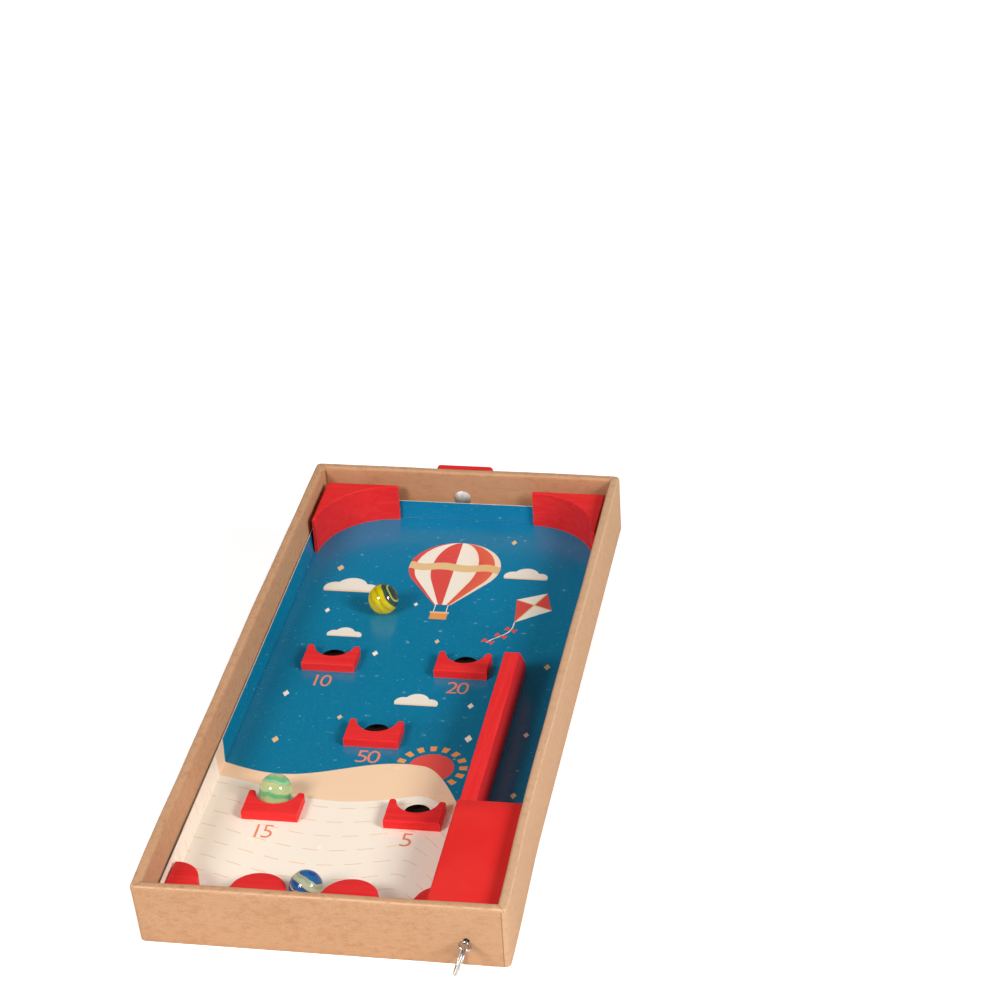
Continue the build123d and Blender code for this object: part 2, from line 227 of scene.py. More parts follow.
def kraftPaint(name, shadeUnderHoles=None):
    # fine speckled board with short fibres, creased at the rim's corners and lapped at the front right
    material, point = newPaint(name)
    x, y, z = point.split()
    nx, ny, nz = point.add("NewGeometry", out="Normal").split()
    top = trayHigh.z
    seam = kraft["seam"]
    speckle = point.noise(kraft["speckleSize"], 3.0)
    fibres = point.noise(kraft["fibreSize"], 2.0, 0.6, (0.16, 0.16, 1.5))
    mottle = point.noise(kraft["mottleSize"], 2.0, 0.0, (0.5, 0.5, 1))
    cloud = point.noise(kraft["cloudSize"], 1.0)
    fleck = point.noise(kraft["fleckSize"], 1.0, 0.0, (0.6, 0.6, 1.2))
    within = abs(x).ease(innerHigh.x + 0.5, innerHigh.x + 0.1)
    within = within * abs(y).ease(innerHigh.y + 0.5, innerHigh.y + 0.1)
    colour = speckle.ease(0.3, 0.72).tint(kraft["board"], kraft["pale"])
    colour = within.tint(colour, kraft["inner"], 0.75)
    colour = fibres.ease(0.5, 0.8).tint(colour, kraft["dark"], 0.5)
    colour = mottle.ease(0.45, 0.8).tint(colour, kraft["dark"], 0.36)
    colour = cloud.ease(0.45, 0.75).tint(colour, kraft["pale"], 0.25)
    colour = fleck.ease(0.72, 0.78).tint(colour, kraft["fleck"], 0.5)
    # painted light: paler on top of the right wall and past the lap, as if lit from the right; the rim's outer
    # edge is worn paler and partly carries a painted highlight
    rim = z.ease(top - 4.0, top - 2.4)
    rightTopLit = rim * nz.ease(0.4, 0.8) * x.ease(innerHigh.x - 1.0, innerHigh.x + 1.0)
    colour = rightTopLit.most(x.ease(seam, seam + 0.3)).tint(colour, kraft["wornAndLit"], 0.27)
    outward = nx * x.sign() + ny * y.sign()
    edge = nz.ease(0.45, 0.62) * nz.ease(0.96, 0.86) * outward.ease(0.2, 0.4)
    colour = (edge * rim * mottle.ease(0.25, 0.6)).tint(colour, kraft["wornAndLit"], 0.5)
    # dark lines: the creases of the rim, the lap in front and the slits of the inner corners
    mitre = abs((trayHigh.x - abs(x)) - (trayHigh.y - abs(y)))
    crease = mitre.ease(0.45, 0.1) * z.ease(top - 2.6, top - 1.4)
    crease = crease * abs(x).ease(innerHigh.x - 0.6, innerHigh.x)
    lap = abs(x - seam).ease(0.32, 0.08) * y.ease(trayLow.y + 0.9, trayLow.y + 0.5)
    lap = lap * z.ease(top - 1.0, top - 2.4)
    corner = (innerHigh.x - abs(x)) + (innerHigh.y - abs(y))
    slit = corner.ease(1.0, 0.5) * within * z.ease(top - 1.2, top - 3.0)
    line = (crease * mottle.span(0.5, 1.0)).most(lap).most(slit)
    colour = line.tint(colour, kraft["crease"], 0.6)
    # painted shade: the base's top face, seen only through the punched holes, is darkened
    if shadeUnderHoles:
        colour = (z.ease(1.7, 1.9) * nz.ease(0.6, 0.9)).tint(colour, shadeUnderHoles)
    height = speckle * 0.5 + fibres * 0.5 - line * 3.0
    return finishPaint(material, point, colour, mottle, kraft, (height, 0.1, 0.4))


redPaint = {"paint": "#E4292B", "bright": "#EA3534", "deep": "#CE1B25", "bare": "#F27E70", "grainSize": 0.7,
            "bandSize": 2.6, "cloudSize": 22.0, "rubAndHighlightWidth": 0.45, "rough": (0.34, 0.52), "shine": 0.12}


def redWoodPaint(name, stretch):
    # satin paint over wood, with its grain along the axis that is stretched
    material, point = newPaint(name)
    grain = point.noise(redPaint["grainSize"], 4.0, 0.6, stretch)
    bands = point.noise(redPaint["bandSize"], 2.0, 1.0, stretch)
    cloud = point.noise(redPaint["cloudSize"], 1.0)
    colour = bands.ease(0.3, 0.75).tint(redPaint["paint"], redPaint["bright"])
    colour = grain.ease(0.52, 0.75).tint(colour, redPaint["deep"], 0.3)
    colour = cloud.ease(0.5, 0.8).tint(colour, redPaint["deep"], 0.12)
    # the edges are rubbed paler: worn there and partly a painted highlight along them
    rubAndHighlight = edgeMask(point, redPaint["rubAndHighlightWidth"]) * cloud.ease(0.2, 0.6)
    colour = rubAndHighlight.tint(colour, redPaint["bare"], 0.5)
    return finishPaint(material, point, colour, grain, redPaint, (grain * 0.6 + bands * 0.4, 0.07, 0.5))


# Paints in layers over a ground. A noise is its size in millimetres, detail, warp and stretch, and the first
# one also sets the roughness. A layer is its noise, from where to where it shows, its tone and share
layered = {
    "red_card_print": {
        "ground": "#E22A27", "noises": {"fibres": (0.5, 3.0, 0.0, (1, 0.5, 1)), "cloud": (30.0, 2.0)},
        "layers": [("cloud", 0.35, 0.7, "#E6322D", 1.0), ("fibres", 0.55, 0.8, "#CE181C", 0.22)],
        # edges rubbed paler: worn and partly a painted highlight
        "rubAndHighlight": (0.35, "#EF6F60", 0.35),
        "relief": ("fibres", 0.03, 0.4), "rough": (0.35, 0.48), "shine": 0.12},
    "card_edge": {
        "ground": "#EDE6DA", "noises": {"fibres": (0.4, 3.0, 0.0, (1, 0.3, 3))},
        "layers": [("fibres", 0.5, 0.75, "#CFC3B0", 0.6)],
        "relief": ("fibres", 0.05, 0.5), "rough": (0.78, 0.92), "shine": 0.2},
    # painted shade: the walls of the punched holes are near black
    "punched_edge_shade": {
        "ground": "#0D1417", "noises": {"smear": (0.5, 2.0, 0.0, (1, 1, 0.3))},
        "layers": [("smear", 0.35, 0.75, "#1C262A", 1.0)],
        "relief": ("smear", 0.04, 0.4), "rough": (0.75, 0.95), "shine": 0.1},
    "grey_board": {
        "ground": "#A59C90", "noises": {"fibres": (0.6, 3.0, 0.0, (0.5, 0.5, 1)), "specks": (0.8, 1.0)},
        "layers": [("fibres", 0.3, 0.75, "#CFC3B0", 1.0), ("specks", 0.66, 0.74, "#6F675D", 0.5)],
        "relief": ("fibres", 0.06, 0.5), "rough": (0.8, 0.95), "shine": 0.2},
    "bare_wood": {
        "ground": "#E0BD8C",
        "noises": {"rings": (2.2, 3.0, 1.2, (1, 0.04, 1)), "pores": (0.35, 2.0, 0.0, (1, 0.06, 1))},
        "layers": [("rings", 0.35, 0.7, "#C3935C", 1.0), ("pores", 0.62, 0.72, "#9A6B3D", 0.5)],
        "relief": ("pores", 0.06, 0.5), "rough": (0.5, 0.7), "shine": 0.3},
    "numeral_ink": {
        "ground": "#E07E5C", "noises": {"grain": (0.6,)}, "layers": [("grain", 0.35, 0.75, "#E6987C", 1.0)],
        "relief": ("grain", 0.01, 0.2), "rough": (0.24, 0.34), "shine": 0.12},
}
# plated metals differ in their bright tone, dull bloom and roughness
metals = {"bright_steel": ("#C9C9CB", "#A9A9AB", (0.16, 0.32)),
          "nickel_plate": ("#D6D3CC", "#A9A59C", (0.24, 0.4)),
          "zinc_plate": ("#DEDCD8", "#B9B7B2", (0.49, 0.65))}
for name, (bright, dull, rough) in metals.items():
    layered[name] = {
        "ground": bright, "noises": {"scratch": (0.4, 3.0, 0.8, (3, 0.3, 1)), "bloom": (2.5,)},
        "layers": [("bloom", 0.4, 0.8, dull, 1.0)], "relief": ("scratch", 0.01, 0.4), "rough": rough,
        "shine": 0.5, "others": {"Metallic": 1.0}}


def layeredPaint(name):
    # card, board, bare wood, ink and plated metal
    look = layered[name]
    material, point = newPaint(name)
    noises = {key: point.noise(*values) for key, values in look["noises"].items()}
    colour = look["ground"]
    for key, low, high, tone, share in look["layers"]:
        colour = noises[key].ease(low, high).tint(colour, tone, share)
    # edges rubbed paler: worn and partly a painted highlight
    if "rubAndHighlight" in look:
        width, tone, share = look["rubAndHighlight"]
        colour = edgeMask(point, width).tint(colour, tone, share)
    raised, depth, strength = look["relief"]
    relief = (noises[raised], depth, strength)
    patchy = next(iter(noises.values()))
    return finishPaint(material, point, colour, patchy, look, relief, look.get("others"))


# Printed sheet of the playfield: thin card whose left flap leans out to the wall
panelLow, panelHigh = trayBox("playfield_panel")
sheet = {"thick": 0.5, "lean": 1.3, "fold": 0.55, "foldSteps": 4, "holeRadius": 6.5, "holeSetback": 13.7,
         "holeSides": 64}
fieldTop = panelHigh.z
fieldSide = panelHigh.x - sheet["thick"]
fieldBack = panelHigh.y - sheet["thick"]
# the motifs are placed on the flat sheet in millimetres; a hill is level, swing, length, phase and drop
printed = {
    "sky": "#04799E", "skyNear": "#0A7699", "skyFar": "#0A7BA4", "skyDeep": "#075B7A", "skyLight": "#2E90B0",
    "cream": "#FBEEDC", "peach": "#F8D3AE", "tan": "#EBC48C", "coral": "#E4524A", "orange": "#EE9A52",
    "mist": "#9CCBD2", "foldShade": "#0B3F55", "edge": 0.09, "rough": (0.18, 0.32), "shine": 0.5,
    "flecks": [(7.0, 0.16, 0.5), (3.6, 0.15, 0.42), (1.8, 0.15, 0.28)],
    "hills": {"far": (-57.0, 7.0, 19.0, 1.0, 62.0), "near": (-75.0, 8.0, 24.0, -0.9, 60.0),
              "fall": (20.0, 76.0), "furrow": 11.0, "furrowInk": 0.28, "dash": 2.1, "dashShift": 1.7},
    "balloon": {"x": 2.0, "y": 130.0, "radius": 25.0, "taper": 35.0, "mouth": 4.5, "gores": 6, "band": 3.4,
                "bandWave": 0.9, "rope": 3.4, "ropeInk": 0.22, "ropeLength": 7.5, "basketHalf": 4.6,
                "basketDrop": 10.6, "basketRise": 3.4, "lipHalf": 5.1, "lipDrop": 7.6, "lipRise": 0.8},
    "kite": {"x": 51.0, "y": 97.0, "turn": -24.0, "half": 11.0, "up": 13.0, "down": 19.0, "spar": 0.35,
             "tail": 23.0, "tailInk": 0.3, "sway": 2.4, "swayLength": 5.2, "bows": (0.3, 0.62, 0.95),
             "bowHalf": 3.2},
    "sun": {"x": 24.0, "y": -52.0, "radius": 11.5, "ring": 14.0, "rays": 18.0, "count": 16},
    "clouds": [(-50.0, 104.0, 1.0), (42.0, 124.0, 0.8), (-44.0, 60.0, 0.62), (6.0, 2.0, 0.75)],
    "lozenges": [(-60, 124, 3.2), (-58, 82, 2.4), (30, 158, 2.6), (-24, 44, 2.6), (6, 58, 2.2),
                 (-62, 4, 2.8), (-30, -14, 2.2), (34, 2, 2.6), (-58, -36, 3.0), (38, -26, 3.2),
                 (67, 40, 2.8), (66, -20, 2.4), (68, -70, 2.6), (-12, 92, 2.0)],
}


class Print:
    # flat shapes drawn on the sheet before it is folded, as masks
    def __init__(self, point):
        self.point = point
        x, y, self.z = point.split()
        lift = (self.z - fieldTop).most(0.0)
        self.x = x + x.sign() * lift * abs(x).ease(fieldSide - 0.3, fieldSide)
        self.y = y + lift * y.ease(fieldBack - 0.3, fieldBack)
        self.flat = point.add("CombineXYZ", {}, {0: self.x, 1: self.y})

    def fill(self, distance):
        # mask of where a signed distance in millimetres is inside
        return distance.ease(printed["edge"], -printed["edge"])

    def away(self, x, y):
        return self.point.vector("DISTANCE", self.flat, (x, y, 0), out="Value")

    def disc(self, x, y, radius):
        return self.fill(self.away(x, y) - radius)

    def hillLine(self, level, swing, length, phase, drop):
        # rolling line that falls away at the lane's side
        fall = self.x.ease(*printed["hills"]["fall"]) * drop
        return (self.x / length + phase).sine() * swing + level - fall


def paintHills(art, colour):
    hills = printed["hills"]
    farLine = art.hillLine(*hills["far"])
    nearLine = art.hillLine(*hills["near"])
    colour = art.fill(art.y - farLine).tint(colour, printed["peach"])
    colour = art.fill(art.y - nearLine).tint(colour, printed["cream"])
    below = nearLine - art.y
    row = below / hills["furrow"]
    rows = art.fill(abs(row.maths("FRACT", row) - 0.5) * hills["furrow"] - hills["furrowInk"])
    dashes = (art.x / hills["dash"] + row.maths("FLOOR", row) * hills["dashShift"]).sine().ease(-0.35, -0.2)
    return (rows * dashes * below.ease(2.0, 4.0)).tint(colour, printed["tan"], 0.75)


def paintSun(art, colour):
    sun = printed["sun"]
    away = art.away(sun["x"], sun["y"])
    angle = art.x.maths("ARCTAN2", art.y - sun["y"], art.x - sun["x"])
    rays = (angle * sun["count"]).sine().ease(-0.1, 0.1)
    ring = art.fill(away - sun["rays"]) * art.fill(sun["ring"] - away)
    colour = (ring * rays).tint(colour, printed["orange"])
    return art.fill(away - sun["radius"]).tint(colour, printed["coral"])


def paintClouds(art, colour):
    # three puffs on a flat foot, in sizes of a cloud
    for x, y, size in printed["clouds"]:
        puffs = art.disc(x, y + 2 * size, 8.5 * size).most(art.disc(x - 9 * size, y, 6.0 * size))
        puffs = puffs.most(art.disc(x + 9.5 * size, y - 0.5 * size, 5.5 * size))
        cloud = puffs * art.fill(y - 3.0 * size - art.y)
        colour = cloud.tint(colour, printed["cream"], 0.92)
        foot = cloud * art.fill(art.y - y + 1.2 * size)
        colour = foot.tint(colour, printed["peach"], 0.9)
    return colour


def paintBalloon(art, colour):
    balloon = printed["balloon"]
    radius = balloon["radius"]
    lean = math.radians(balloon["taper"])
    across = art.x - balloon["x"]
    up = art.y - balloon["y"]
    cut = -radius * math.sin(lean)
    mouthLevel = cut - (radius * math.cos(lean) - balloon["mouth"]) / math.tan(lean)
    roundHalf = (radius * radius - up * up).most(0.01).root()
    taperHalf = (up - mouthLevel) * math.tan(lean) + balloon["mouth"]
    isRound = up > cut
    half = isRound * roundHalf + (1 - isRound) * taperHalf.most(0.01)
    body = art.fill(abs(across) - half) * art.fill(mouthLevel - up) * art.fill(up - radius)
    share = across / half
    turn = share.maths("ARCSINE", share.least(1.0).most(-1.0))
    swell = (turn * balloon["gores"]).sine()
    colour = body.tint(colour, swell.ease(-0.06, 0.06).tint(printed["coral"], printed["cream"]))
    band = body * art.fill(abs(up + swell * balloon["bandWave"]) - balloon["band"])
    colour = band.tint(colour, printed["tan"])
    colour = (body * share.ease(0.25, 0.9)).tint(colour, printed["orange"], 0.25)
    hang = up - mouthLevel
    ropes = art.fill(abs(abs(across) - balloon["rope"]) - balloon["ropeInk"])
    ropes = ropes * art.fill(hang) * art.fill(-hang - balloon["ropeLength"])
    colour = ropes.tint(colour, printed["cream"])
    for part, tone in (("basket", "orange"), ("lip", "tan")):
        box = art.fill(abs(across) - balloon[part + "Half"])
        box = box * art.fill(abs(hang + balloon[part + "Drop"]) - balloon[part + "Rise"])
        colour = box.tint(colour, printed[tone])
    return colour


def paintKite(art, colour):
    kite = printed["kite"]
    turn = math.radians(kite["turn"])
    dx = art.x - kite["x"]
    dy = art.y - kite["y"]
    u = dx * math.cos(turn) + dy * math.sin(turn)
    v = dy * math.cos(turn) - dx * math.sin(turn)
    upper = v > 0.0
    reach = upper * (v / kite["up"]) + (1 - upper) * (v / -kite["down"])
    body = art.fill((abs(u) / kite["half"] + reach - 1.0) * 8.0)
    quarter = (u * v).ease(-0.4, 0.4)
    colour = body.tint(colour, quarter.tint(printed["cream"], printed["coral"]))
    spars = art.fill(abs(u) - kite["spar"]).most(art.fill(abs(v) - kite["spar"])) * body
    colour = spars.tint(colour, printed["tan"])
    hang = -v - kite["down"]
    sway = (hang / kite["swayLength"]).sine() * kite["sway"]
    tail = art.fill(abs(u - sway) - kite["tailInk"]) * art.fill(-hang) * art.fill(hang - kite["tail"])
    colour = tail.tint(colour, printed["cream"])
    for share in kite["bows"]:
        level = kite["tail"] * share
        aside = abs(u - math.sin(level / kite["swayLength"]) * kite["sway"])
        bow = art.fill(aside - kite["bowHalf"]) * art.fill(abs(hang - level) - aside * 0.55 - 0.25)
        colour = bow.tint(colour, printed["coral"])
    return colour


def paintLozenges(art, colour):
    for index, (x, y, size) in enumerate(printed["lozenges"]):
        away = abs(art.x - x) / (0.62 * size) + abs(art.y - y) / size
        tone = printed["cream"] if index % 2 else printed["tan"]
        colour = art.fill((away - 1.0) * size * 0.5).tint(colour, tone)
    return colour


def playfieldPaint():
    # laminated print: sky with pale flecks, hills, sun, clouds, balloon and kite
    material, point = newPaint("playfield_print")
    art = Print(point)
    colour = art.y.ease(-75.0, 50.0).tint(printed["skyNear"], printed["sky"])
    colour = art.y.ease(40.0, 160.0).tint(colour, printed["skyFar"])
    colour = point.noise(60.0).ease(0.45, 0.8).tint(colour, printed["skyDeep"], 0.35)
    inkGrain = point.noise(0.8, 3.0, 0.0, (1, 0.35, 1))
    colour = inkGrain.ease(0.48, 0.8).tint(colour, printed["skyLight"], 0.3)
    smear = point.vector("MULTIPLY", point, (0.6, 1.0, 1.0))
    for cell, size, strength in printed["flecks"]:
        speck = point.add("TexVoronoi", {"feature": "F1"}, {"Vector": smear, "Scale": 1.0 / cell})
        fleck = speck.ease(size, size * 0.2) * inkGrain.ease(0.4, 0.6)
        colour = fleck.tint(colour, printed["mist"], strength)
    # painted shade: a dark line along the folds where the flaps rise
    fold = (abs(art.x) - fieldSide).most(art.y - fieldBack).ease(-0.9, -0.3)
    fold = fold * art.z.ease(fieldTop + 0.9, fieldTop + 0.2)
    colour = fold.tint(colour, printed["foldShade"], 0.4)
    for paint in (paintSun, paintHills, paintClouds, paintBalloon, paintKite, paintLozenges):
        colour = paint(art, colour)
    haze = point.noise(14.0, 3.0)
    return finishPaint(material, point, colour, haze, printed, (haze, 0.15, 0.12))


clearGlass = {"scuffSize": 1.6, "rough": (0.03, 0.06), "shine": 0.5}
swirlGlass = {"waveSize": 7.0, "streakSize": 2.5, "edge": 0.25, "rough": (0.2, 0.3), "shine": 0.2}


def glassPaint(name, tone):
    # polished glass with a few faint scuffs
    material, point = newPaint(name)
    scuff = point.noise(clearGlass["scuffSize"], 3.0, 1.5, (1, 1, 0.3)).ease(0.5, 0.85)
    others = {"Transmission Weight": 1.0, "IOR": 1.5}
    return finishPaint(material, point, tone, scuff, clearGlass, None, others)


def swirlPaint(name, middle, marble):
    # bands of coloured glass across a marble, wavy and streaked; between them it can be clear
    material, point = newPaint(name)
    local = point.vector("SUBTRACT", point, tuple(middle))
    along = point.vector("DOT_PRODUCT", local, marble["lean"], out="Value")
    along = along + (local.noise(swirlGlass["waveSize"], 1.0) - 0.5) * marble["wave"]
    streak = (along * 1.7 + local.noise(swirlGlass["streakSize"], 2.0, 0.0, (0.4, 0.4, 0.4)) * 2.0).sine()
    edge = swirlGlass["edge"]
    colour = marble["ground"]
    shown = None
    for low, high, tone, deep in marble["bands"]:
        band = along.ease(low - edge, low + edge) * along.ease(high + edge, high - edge)
        colour = band.tint(colour, streak.ease(0.1, 0.9).tint(tone, deep, 0.8))
        shown = shown.most(band) if shown else band
    # lamp light doesn't pass the glass in the render, so the bands carry a little of it themselves
    others = {"Emission Color": colour, "Emission Strength": marble["glow"]}
    if marble["clear"]:
        others["Alpha"] = shown.most(1 - marble["clear"])
    return finishPaint(material, point, colour, streak, swirlGlass, None, others)


paints = {name: layeredPaint(name) for name in layered}
paints["kraft_board"] = kraftPaint("kraft_board")
# its top face gets a dark painted shade under the holes
paints["kraft_base"] = kraftPaint("kraft_base", "#33241A")
paints["red_wood_across"] = redWoodPaint("red_wood_across", (0.05, 1, 1))
paints["red_wood_along"] = redWoodPaint("red_wood_along", (1, 0.05, 1))
paints["playfield_print"] = playfieldPaint()
print("paints mixed,", len(paints))


def freshStart():
    if bpy.context.object and bpy.context.object.mode != "OBJECT":
        bpy.ops.object.mode_set(mode="OBJECT")
    bpy.ops.object.select_all(action="DESELECT")


def workOn(piece):
    freshStart()
    bpy.context.view_layer.objects.active = piece
    piece.select_set(True)


def startEditing(piece, mode="FACE"):
    workOn(piece)
    bpy.ops.object.mode_set(mode="EDIT")
    bpy.ops.mesh.select_mode(type=mode)
    bpy.ops.mesh.select_all(action="DESELECT")


def pickAll():
    bpy.ops.mesh.select_all(action="SELECT")


def pickEdges(piece, test):
    # selects the edges whose two ends pass the test
    bpy.ops.mesh.select_all(action="DESELECT")
    mesh = bmesh.from_edit_mesh(piece.data)
    for edge in mesh.edges:
        if test(*[v.co for v in edge.verts]):
            edge.select_set(True)
    mesh.select_flush_mode()
    bmesh.update_edit_mesh(piece.data)


def bothAt(a, b, axis, place, slack=0.01):
    return abs(a[axis] - place) < slack and abs(b[axis] - place) < slack


def extrudeUp(height):
    bpy.ops.mesh.extrude_region_move(TRANSFORM_OT_translate={"value": (0, 0, height)})


def bevelPicked(width, steps, affect="EDGES"):
    bpy.ops.mesh.bevel(offset=width, segments=steps, affect=affect)


def sliceAll(where, facing):
    pickAll()
    bpy.ops.mesh.bisect(plane_co=where, plane_no=facing)


def turnOutwards():
    pickAll()
    bpy.ops.mesh.normals_make_consistent(inside=False)


def turnUp(card):
    # an open sheet's largest face looks up
    if max(card.data.polygons, key=lambda face: face.area).normal.z < 0:
        card.data.flip_normals()


def useModifier(piece, kind, **settings):
    workOn(piece)
    modifier = piece.modifiers.new(kind.lower(), kind)
    for name, value in settings.items():
        setattr(modifier, name, value)
    bpy.ops.object.modifier_apply(modifier=modifier.name)


def easeEdges(piece, width, steps, angle):
    useModifier(piece, "BEVEL", width=width, segments=steps, limit_method="ANGLE",
                angle_limit=math.radians(angle))


def addPlate(left, right, front, back, level):
    # a flat rectangle to start a piece from
    freshStart()
    bpy.ops.mesh.primitive_plane_add(size=1, location=((left + right) / 2, (front + back) / 2, level))
    plate = bpy.context.object
    plate.scale = (right - left, back - front, 1)
    bpy.ops.object.transform_apply(location=True, rotation=False, scale=True)
    return plate


def placePiece(piece, name, body, finish, standsFor=(), angle=35.0):
    # puts the place into the mesh, leans it onto the table and gives it its body; no finish keeps its own
    workOn(piece)
    bpy.ops.object.transform_apply(location=True, rotation=True, scale=True)
    piece.name = name
    piece.data.name = name
    piece.data.transform(trayMatrix)
    if finish:
        piece.data.materials.clear()
        piece.data.materials.append(paints[finish])
    bpy.ops.object.shade_smooth_by_angle(angle=math.radians(angle))
    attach(piece, body)
    if standsFor:
        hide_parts(*standsFor)


# Kraft board tray: one wrapped wall round the base, soft at the rim and a little uneven
board = {"corner": 2.5, "innerCorner": 0.7, "cornerSteps": 4, "rim": 1.7, "rimSteps": 4, "under": 1.0,
         "underSteps": 3, "station": 11.0, "levels": (7.0, 15.0, 22.0, 28.0), "rodHole": 3.0, "boltHole": 4.4,
         "drillSides": 32, "drillLength": 24.0,
         "wave": 0.13, "wavesX": (27.0, 9.5), "wavesY": (21.0, 8.3), "wavesZ": (13.0, 17.0),
         "leftPart": (50.0, 80.0), "rightPart": (45.0, 80.0), "frontPart": (90.0, 185.0),
         "leftBow": 0.825, "bowLength": 400.0, "leftGap": 0.8, "gapPart": (20.0, 140.0), "rightSpread": 1.8,
         "flare": (-0.9, -0.2, -0.4), "frontSag": (-0.7, -1.0), "sagWidth": 18.0}


def roundedOutline(halfX, halfY, radius):
    outline = addPlate(-halfX, halfX, -halfY, halfY, trayLow.z)
    startEditing(outline, "VERT")
    pickAll()
    bevelPicked(radius, board["cornerSteps"], "VERTICES")
    pickAll()
    bpy.ops.mesh.delete(type="ONLY_FACE")
    freshStart()
    return outline


def soft(value, start, end):
    # 0 at start, 1 at end, soft between
    share = min(max((value - start) / (end - start), 0.0), 1.0)
    return share * share * (3 - 2 * share)


def riseAt(level):
    return (level - trayLow.z) / (trayHigh.z - trayLow.z)


def ripple(along, across, lengths):
    return math.sin(along / lengths[0] + across) + 0.5 * math.sin(along / lengths[1])


def unevenBoard(place):
    # hand-made board: the long left wall bows out, the front rim sags and the front corners have spread
    rise = riseAt(place.z)
    outer = abs(place.x) > innerHigh.x + 0.1 or abs(place.y) > innerHigh.y + 0.1
    left = soft(-place.x, *board["leftPart"])
    right = soft(place.x, *board["rightPart"])
    front = soft(-place.y, *board["frontPart"])
    frontWall = soft(-place.y, innerHigh.y - board["sagWidth"], innerHigh.y)
    longX, longY = board["wavesZ"]
    bow = Vector((ripple(place.y, place.x, board["wavesX"]), ripple(place.x, place.y, board["wavesY"]),
                  0.7 * math.sin(place.x / longX + place.y / longY))) * board["wave"] * rise
    bow.x -= board["leftBow"] * rise * left * (1 + math.cos(math.pi * place.y / board["bowLength"]))
    bow.x += board["rightSpread"] * right * front * (1.0 if outer else rise)
    if not outer:
        bow.x -= board["leftGap"] * left * (1 - rise) * soft(-place.y, *board["gapPart"])
    sag = rise * rise * frontWall * (0.75 - 0.25 * place.x / innerHigh.x)    # deepest at the left
    bow.y += board["frontSag"][0] * sag
    bow.z += board["frontSag"][1] * sag
    return bow + Vector(board["flare"]) * left * front * rise


def makeTray():
    outer = roundedOutline(trayHigh.x, trayHigh.y, board["corner"])
    inner = roundedOutline(innerHigh.x, innerHigh.y, board["innerCorner"])
    workOn(outer)
    inner.select_set(True)
    bpy.ops.object.join()
    tray = bpy.context.object
    startEditing(tray, "EDGE")
    pickAll()
    bpy.ops.mesh.bridge_edge_loops()
    pickAll()
    extrudeUp(trayHigh.z - trayLow.z)
    margin = board["corner"] + 0.01

    def outside(p):
        return abs(p.x) > trayHigh.x - margin or abs(p.y) > trayHigh.y - margin

    pickEdges(tray, lambda a, b: bothAt(a, b, 2, trayHigh.z) and outside(a) == outside(b))
    bevelPicked(board["rim"], board["rimSteps"])
    pickEdges(tray, lambda a, b: bothAt(a, b, 2, trayLow.z) and outside(a) and outside(b))
    bevelPicked(board["under"], board["underSteps"])
    for level in board["levels"]:
        sliceAll((0, 0, level), (0, 0, 1))
    for index in range(int(trayHigh.y / board["station"]) + 1):
        for station in (index * board["station"], -index * board["station"]):
            sliceAll((0, station, 0), (0, 1, 0))
            if abs(station) < innerHigh.x - 2:
                sliceAll((station, 0, 0), (1, 0, 0))
    pickAll()
    bpy.ops.mesh.remove_doubles(threshold=0.001)
    turnOutwards()
    freshStart()
    for v in tray.data.vertices:
        v.co += unevenBoard(v.co)
    for name, wall, size in (("washer_front", trayLow.y, "rodHole"), ("pivot_bolt", trayHigh.y, "boltHole")):
        low, high = trayBox(name)
        middle = (low + high) / 2
        freshStart()
        bpy.ops.mesh.primitive_cylinder_add(vertices=board["drillSides"], radius=board[size] / 2,
                                            depth=board["drillLength"], rotation=(math.pi / 2, 0, 0),
                                            location=(middle.x, wall, middle.z))
        drill = bpy.context.object
        useModifier(tray, "BOOLEAN", operation="DIFFERENCE", object=drill, solver="EXACT")
        bpy.data.objects.remove(drill)
    placePiece(tray, "board_tray", "tray", "kraft_board", wallNames, 50.0)


makeTray()
print("tray wrapped")


# Red card cover of the launcher: a folded sheet from the divider across to the wall
cover = {"thick": 1.0, "fold": 1.4, "foldSteps": 4, "tab": 8.6, "wallGap": 0.1, "station": 9.0, "edge": 0.2,
         "edgeSteps": 2, "spreadPart": (58.0, 80.0)}


def makeCover():
    low, high = trayBox("launcher_cover")
    right = innerHigh.x - cover["wallGap"]
    card = addPlate(low.x, right, low.y, high.y, high.z)
    startEditing(card, "EDGE")
    for side, drop in ((low.x, high.z - low.z), (right, cover["tab"])):
        pickEdges(card, lambda a, b: bothAt(a, b, 0, side))
        extrudeUp(-drop)
    pickEdges(card, lambda a, b: bothAt(a, b, 0, a.x) and bothAt(a, b, 2, high.z))
    bevelPicked(cover["fold"], cover["foldSteps"])
    for index in range(1, int((high.y - low.y) / cover["station"]) + 1):
        sliceAll((0, low.y + index * cover["station"], 0), (0, 1, 0))
    turnOutwards()
    freshStart()
    turnUp(card)
    for v in card.data.vertices:
        spread = soft(v.co.x, *cover["spreadPart"]) * soft(-v.co.y, *board["frontPart"])
        v.co.x += board["rightSpread"] * riseAt(v.co.z) * spread
    useModifier(card, "SOLIDIFY", thickness=cover["thick"], offset=-1.0, use_even_offset=True)
    easeEdges(card, cover["edge"], cover["edgeSteps"], 60)
    placePiece(card, "launcher_cover_card", "tray", "red_card_print", ["launcher_cover"], 40.0)


makeCover()
print("cover folded")


# Waved rail along the front, sawn by hand: place, half width and height of each crest and hollow
rail = {"reach": 0.4, "steps": 140, "edge": 0.5, "edgeSteps": 2, "wave": 7.75,
        "crests": [(1.5, 12.2, 11.8), (43.2, 12.3, 7.75), (86.4, 12.3, 7.75), (129.6, 12.3, 7.75)],
        "hollows": [(22.3, 8.6, 7.75), (64.8, 9.3, 7.75), (108.0, 9.3, 7.75)]}


